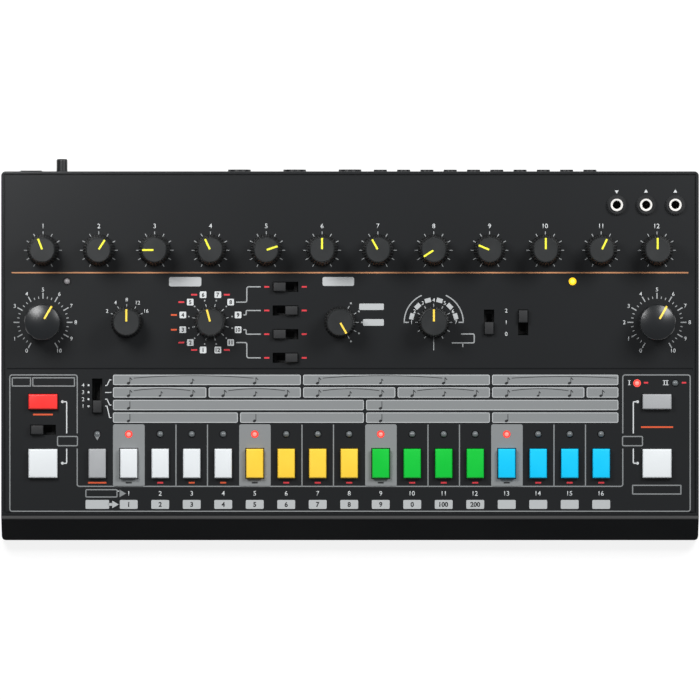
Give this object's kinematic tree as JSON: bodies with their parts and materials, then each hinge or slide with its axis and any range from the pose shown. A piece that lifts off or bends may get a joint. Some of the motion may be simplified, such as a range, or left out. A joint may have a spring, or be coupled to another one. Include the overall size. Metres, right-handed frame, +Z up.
{
  "type": "drum machine",
  "caption": "Tabletop drum machine with a sloping panel of rotary knobs, slide switches, step keys in four colours, indicator lamps and jacks.",
  "frame": {"origin": "on the table, under the middle of the part's box", "axes": "+X to the right of the user, +Y to the rear, +Z up. The panel slopes up to the rear by 7 degrees about X."},
  "size_m": [0.305, 0.1662, 0.0557],
  "materials": {
    "case_shell": "satin dark grey",
    "base_shell": "satin dark grey",
    "foot_rubber": "matte",
    "screw_steel": "dark zinc",
    "board": "satin green",
    "can_metal": "plain",
    "switch_black": "matte",
    "lamp": "clear grey",
    "jack_metal": "bright nickel",
    "nut_black": "satin black",
    "socket_black": "matte",
    "knob_black": "soft satin grey-black",
    "large_knob": "satin grey-black",
    "slide_grey": "satin dark grey",
    "button_red": "satin",
    "key_white": "satin",
    "key_yellow": "satin",
    "key_green": "satin",
    "key_cyan": "satin",
    "button_grey": "satin",
    "power_black": "satin"
  },
  "bodies": {
    "case": {"top_shell": "case_shell", "bottom_shell": "base_shell", "rubber_feet": "foot_rubber", "screws": "screw_steel", "main_board": "board", "rotary_controls": "can_metal", "push_switches": "switch_black", "slide_switches": "switch_black", "indicator_lamps": "lamp", "panel_jacks": "jack_metal", "jack_nuts": "nut_black", "rear_sockets": "socket_black"},
    "level_knob_1": {"level_knob_1": "knob_black"},
    "level_knob_2": {"level_knob_2": "knob_black"},
    "level_knob_3": {"level_knob_3": "knob_black"},
    "level_knob_4": {"level_knob_4": "knob_black"},
    "level_knob_5": {"level_knob_5": "knob_black"},
    "level_knob_6": {"level_knob_6": "knob_black"},
    "level_knob_7": {"level_knob_7": "knob_black"},
    "level_knob_8": {"level_knob_8": "knob_black"},
    "level_knob_9": {"level_knob_9": "knob_black"},
    "level_knob_10": {"level_knob_10": "knob_black"},
    "level_knob_11": {"level_knob_11": "knob_black"},
    "level_knob_12": {"level_knob_12": "knob_black"},
    "selector_knob_1": {"selector_knob_1": "knob_black"},
    "selector_knob_2": {"selector_knob_2": "knob_black"},
    "selector_knob_3": {"selector_knob_3": "knob_black"},
    "selector_knob_4": {"selector_knob_4": "knob_black"},
    "tempo_knob": {"tempo_knob": "large_knob"},
    "volume_knob": {"volume_knob": "large_knob"},
    "voice_slide_1": {"voice_slide_1": "slide_grey"},
    "voice_slide_2": {"voice_slide_2": "slide_grey"},
    "voice_slide_3": {"voice_slide_3": "slide_grey"},
    "voice_slide_4": {"voice_slide_4": "slide_grey"},
    "fade_in_slide": {"fade_in_slide": "slide_grey"},
    "fade_out_slide": {"fade_out_slide": "slide_grey"},
    "scale_slide": {"scale_slide": "slide_grey"},
    "variation_slide": {"variation_slide": "slide_grey"},
    "clear_button": {"clear_button": "button_red"},
    "start_button": {"start_button": "key_white"},
    "pattern_button": {"pattern_button": "button_grey"},
    "tap_button": {"tap_button": "key_white"},
    "function_key": {"function_key": "button_grey"},
    "step_key_1": {"step_key_1": "key_white"},
    "step_key_2": {"step_key_2": "key_white"},
    "step_key_3": {"step_key_3": "key_white"},
    "step_key_4": {"step_key_4": "key_white"},
    "step_key_5": {"step_key_5": "key_yellow"},
    "step_key_6": {"step_key_6": "key_yellow"},
    "step_key_7": {"step_key_7": "key_yellow"},
    "step_key_8": {"step_key_8": "key_yellow"},
    "step_key_9": {"step_key_9": "key_green"},
    "step_key_10": {"step_key_10": "key_green"},
    "step_key_11": {"step_key_11": "key_green"},
    "step_key_12": {"step_key_12": "key_green"},
    "step_key_13": {"step_key_13": "key_cyan"},
    "step_key_14": {"step_key_14": "key_cyan"},
    "step_key_15": {"step_key_15": "key_cyan"},
    "step_key_16": {"step_key_16": "key_cyan"},
    "power_button": {"power_button": "power_black"}
  },
  "joints": [
    {"name": "level_knob_1_turn", "type": "hinge", "parent": "case", "child": "level_knob_1", "pos_m": [-0.1342, 0.04097, 0.0392], "axis": [0, -0.1219, 0.9925], "range_deg": [-171, 129]},
    {"name": "level_knob_2_turn", "type": "hinge", "parent": "case", "child": "level_knob_2", "pos_m": [-0.1098, 0.04097, 0.0392], "axis": [0, -0.1219, 0.9925], "range_deg": [-117, 183]},
    {"name": "level_knob_3_turn", "type": "hinge", "parent": "case", "child": "level_knob_3", "pos_m": [-0.0854, 0.04097, 0.0392], "axis": [0, -0.1219, 0.9925], "range_deg": [-240, 60]},
    {"name": "level_knob_4_turn", "type": "hinge", "parent": "case", "child": "level_knob_4", "pos_m": [-0.061, 0.04097, 0.0392], "axis": [0, -0.1219, 0.9925], "range_deg": [-175, 125]},
    {"name": "level_knob_5_turn", "type": "hinge", "parent": "case", "child": "level_knob_5", "pos_m": [-0.0366, 0.04097, 0.0392], "axis": [0, -0.1219, 0.9925], "range_deg": [-78, 222]},
    {"name": "level_knob_6_turn", "type": "hinge", "parent": "case", "child": "level_knob_6", "pos_m": [-0.0122, 0.04097, 0.0392], "axis": [0, -0.1219, 0.9925], "range_deg": [-150, 150]},
    {"name": "level_knob_7_turn", "type": "hinge", "parent": "case", "child": "level_knob_7", "pos_m": [0.0122, 0.04097, 0.0392], "axis": [0, -0.1219, 0.9925], "range_deg": [-179, 121]},
    {"name": "level_knob_8_turn", "type": "hinge", "parent": "case", "child": "level_knob_8", "pos_m": [0.0366, 0.04097, 0.0392], "axis": [0, -0.1219, 0.9925], "range_deg": [-273, 27]},
    {"name": "level_knob_9_turn", "type": "hinge", "parent": "case", "child": "level_knob_9", "pos_m": [0.061, 0.04097, 0.0392], "axis": [0, -0.1219, 0.9925], "range_deg": [-217, 83]},
    {"name": "level_knob_10_turn", "type": "hinge", "parent": "case", "child": "level_knob_10", "pos_m": [0.0854, 0.04097, 0.0392], "axis": [0, -0.1219, 0.9925], "range_deg": [-150, 150]},
    {"name": "level_knob_11_turn", "type": "hinge", "parent": "case", "child": "level_knob_11", "pos_m": [0.1098, 0.04097, 0.0392], "axis": [0, -0.1219, 0.9925], "range_deg": [-124, 176]},
    {"name": "level_knob_12_turn", "type": "hinge", "parent": "case", "child": "level_knob_12", "pos_m": [0.1342, 0.04097, 0.0392], "axis": [0, -0.1219, 0.9925], "range_deg": [-150, 150]},
    {"name": "selector_knob_1_turn", "type": "hinge", "parent": "case", "child": "selector_knob_1", "pos_m": [-0.0976, 0.0097, 0.03536], "axis": [0, -0.1219, 0.9925], "range_deg": [-60, 60]},
    {"name": "selector_knob_2_turn", "type": "hinge", "parent": "case", "child": "selector_knob_2", "pos_m": [-0.061, 0.0097, 0.03536], "axis": [0, -0.1219, 0.9925], "range_deg": [-180, 150]},
    {"name": "selector_knob_3_turn", "type": "hinge", "parent": "case", "child": "selector_knob_3", "pos_m": [-0.00439, 0.0097, 0.03536], "axis": [0, -0.1219, 0.9925], "range_deg": [0, 120]},
    {"name": "selector_knob_4_turn", "type": "hinge", "parent": "case", "child": "selector_knob_4", "pos_m": [0.0366, 0.0097, 0.03536], "axis": [0, -0.1219, 0.9925], "range_deg": [-180, 150]},
    {"name": "tempo_knob_turn", "type": "hinge", "parent": "case", "child": "tempo_knob", "pos_m": [-0.1342, 0.0097, 0.03536], "axis": [0, -0.1219, 0.9925], "range_deg": [-120, 180]},
    {"name": "volume_knob_turn", "type": "hinge", "parent": "case", "child": "volume_knob", "pos_m": [0.1342, 0.0097, 0.03536], "axis": [0, -0.1219, 0.9925], "range_deg": [-120, 180]},
    {"name": "voice_slide_1_shift", "type": "slide", "parent": "case", "child": "voice_slide_1", "axis": [1, 0, 0], "range_m": [0, 0.0052]},
    {"name": "voice_slide_2_shift", "type": "slide", "parent": "case", "child": "voice_slide_2", "axis": [1, 0, 0], "range_m": [-0.0052, 0]},
    {"name": "voice_slide_3_shift", "type": "slide", "parent": "case", "child": "voice_slide_3", "axis": [1, 0, 0], "range_m": [0, 0.0052]},
    {"name": "voice_slide_4_shift", "type": "slide", "parent": "case", "child": "voice_slide_4", "axis": [1, 0, 0], "range_m": [-0.0052, 0]},
    {"name": "fade_in_slide_shift", "type": "slide", "parent": "case", "child": "fade_in_slide", "axis": [0, 0.9925, 0.1219], "range_m": [0, 0.0052]},
    {"name": "fade_out_slide_shift", "type": "slide", "parent": "case", "child": "fade_out_slide", "axis": [0, 0.9925, 0.1219], "range_m": [-0.0052, 0]},
    {"name": "scale_slide_shift", "type": "slide", "parent": "case", "child": "scale_slide", "axis": [0, 0.9925, 0.1219], "range_m": [0, 0.0093]},
    {"name": "variation_slide_shift", "type": "slide", "parent": "case", "child": "variation_slide", "axis": [1, 0, 0], "range_m": [0, 0.0052]},
    {"name": "clear_button_press", "type": "slide", "parent": "case", "child": "clear_button", "axis": [0, 0.1219, -0.9925], "range_m": [0, 0.0008], "stiffness_N_per_m": 300, "springref_m": -0.001},
    {"name": "start_button_press", "type": "slide", "parent": "case", "child": "start_button", "axis": [0, 0.1219, -0.9925], "range_m": [0, 0.0008], "stiffness_N_per_m": 300, "springref_m": -0.001},
    {"name": "pattern_button_press", "type": "slide", "parent": "case", "child": "pattern_button", "axis": [0, 0.1219, -0.9925], "range_m": [0, 0.0008], "stiffness_N_per_m": 300, "springref_m": -0.001},
    {"name": "tap_button_press", "type": "slide", "parent": "case", "child": "tap_button", "axis": [0, 0.1219, -0.9925], "range_m": [0, 0.0008], "stiffness_N_per_m": 300, "springref_m": -0.001},
    {"name": "function_key_press", "type": "slide", "parent": "case", "child": "function_key", "axis": [0, 0.1219, -0.9925], "range_m": [0, 0.0008], "stiffness_N_per_m": 300, "springref_m": -0.001},
    {"name": "step_key_1_press", "type": "slide", "parent": "case", "child": "step_key_1", "axis": [0, 0.1219, -0.9925], "range_m": [0, 0.0008], "stiffness_N_per_m": 300, "springref_m": -0.001},
    {"name": "step_key_2_press", "type": "slide", "parent": "case", "child": "step_key_2", "axis": [0, 0.1219, -0.9925], "range_m": [0, 0.0008], "stiffness_N_per_m": 300, "springref_m": -0.001},
    {"name": "step_key_3_press", "type": "slide", "parent": "case", "child": "step_key_3", "axis": [0, 0.1219, -0.9925], "range_m": [0, 0.0008], "stiffness_N_per_m": 300, "springref_m": -0.001},
    {"name": "step_key_4_press", "type": "slide", "parent": "case", "child": "step_key_4", "axis": [0, 0.1219, -0.9925], "range_m": [0, 0.0008], "stiffness_N_per_m": 300, "springref_m": -0.001},
    {"name": "step_key_5_press", "type": "slide", "parent": "case", "child": "step_key_5", "axis": [0, 0.1219, -0.9925], "range_m": [0, 0.0008], "stiffness_N_per_m": 300, "springref_m": -0.001},
    {"name": "step_key_6_press", "type": "slide", "parent": "case", "child": "step_key_6", "axis": [0, 0.1219, -0.9925], "range_m": [0, 0.0008], "stiffness_N_per_m": 300, "springref_m": -0.001},
    {"name": "step_key_7_press", "type": "slide", "parent": "case", "child": "step_key_7", "axis": [0, 0.1219, -0.9925], "range_m": [0, 0.0008], "stiffness_N_per_m": 300, "springref_m": -0.001},
    {"name": "step_key_8_press", "type": "slide", "parent": "case", "child": "step_key_8", "axis": [0, 0.1219, -0.9925], "range_m": [0, 0.0008], "stiffness_N_per_m": 300, "springref_m": -0.001},
    {"name": "step_key_9_press", "type": "slide", "parent": "case", "child": "step_key_9", "axis": [0, 0.1219, -0.9925], "range_m": [0, 0.0008], "stiffness_N_per_m": 300, "springref_m": -0.001},
    {"name": "step_key_10_press", "type": "slide", "parent": "case", "child": "step_key_10", "axis": [0, 0.1219, -0.9925], "range_m": [0, 0.0008], "stiffness_N_per_m": 300, "springref_m": -0.001},
    {"name": "step_key_11_press", "type": "slide", "parent": "case", "child": "step_key_11", "axis": [0, 0.1219, -0.9925], "range_m": [0, 0.0008], "stiffness_N_per_m": 300, "springref_m": -0.001},
    {"name": "step_key_12_press", "type": "slide", "parent": "case", "child": "step_key_12", "axis": [0, 0.1219, -0.9925], "range_m": [0, 0.0008], "stiffness_N_per_m": 300, "springref_m": -0.001},
    {"name": "step_key_13_press", "type": "slide", "parent": "case", "child": "step_key_13", "axis": [0, 0.1219, -0.9925], "range_m": [0, 0.0008], "stiffness_N_per_m": 300, "springref_m": -0.001},
    {"name": "step_key_14_press", "type": "slide", "parent": "case", "child": "step_key_14", "axis": [0, 0.1219, -0.9925], "range_m": [0, 0.0008], "stiffness_N_per_m": 300, "springref_m": -0.001},
    {"name": "step_key_15_press", "type": "slide", "parent": "case", "child": "step_key_15", "axis": [0, 0.1219, -0.9925], "range_m": [0, 0.0008], "stiffness_N_per_m": 300, "springref_m": -0.001},
    {"name": "step_key_16_press", "type": "slide", "parent": "case", "child": "step_key_16", "axis": [0, 0.1219, -0.9925], "range_m": [0, 0.0008], "stiffness_N_per_m": 300, "springref_m": -0.001},
    {"name": "power_button_press", "type": "slide", "parent": "case", "child": "power_button", "axis": [0, -0.9925, -0.1219], "range_m": [0, 0.003], "stiffness_N_per_m": 200, "springref_m": -0.001}
  ]
}
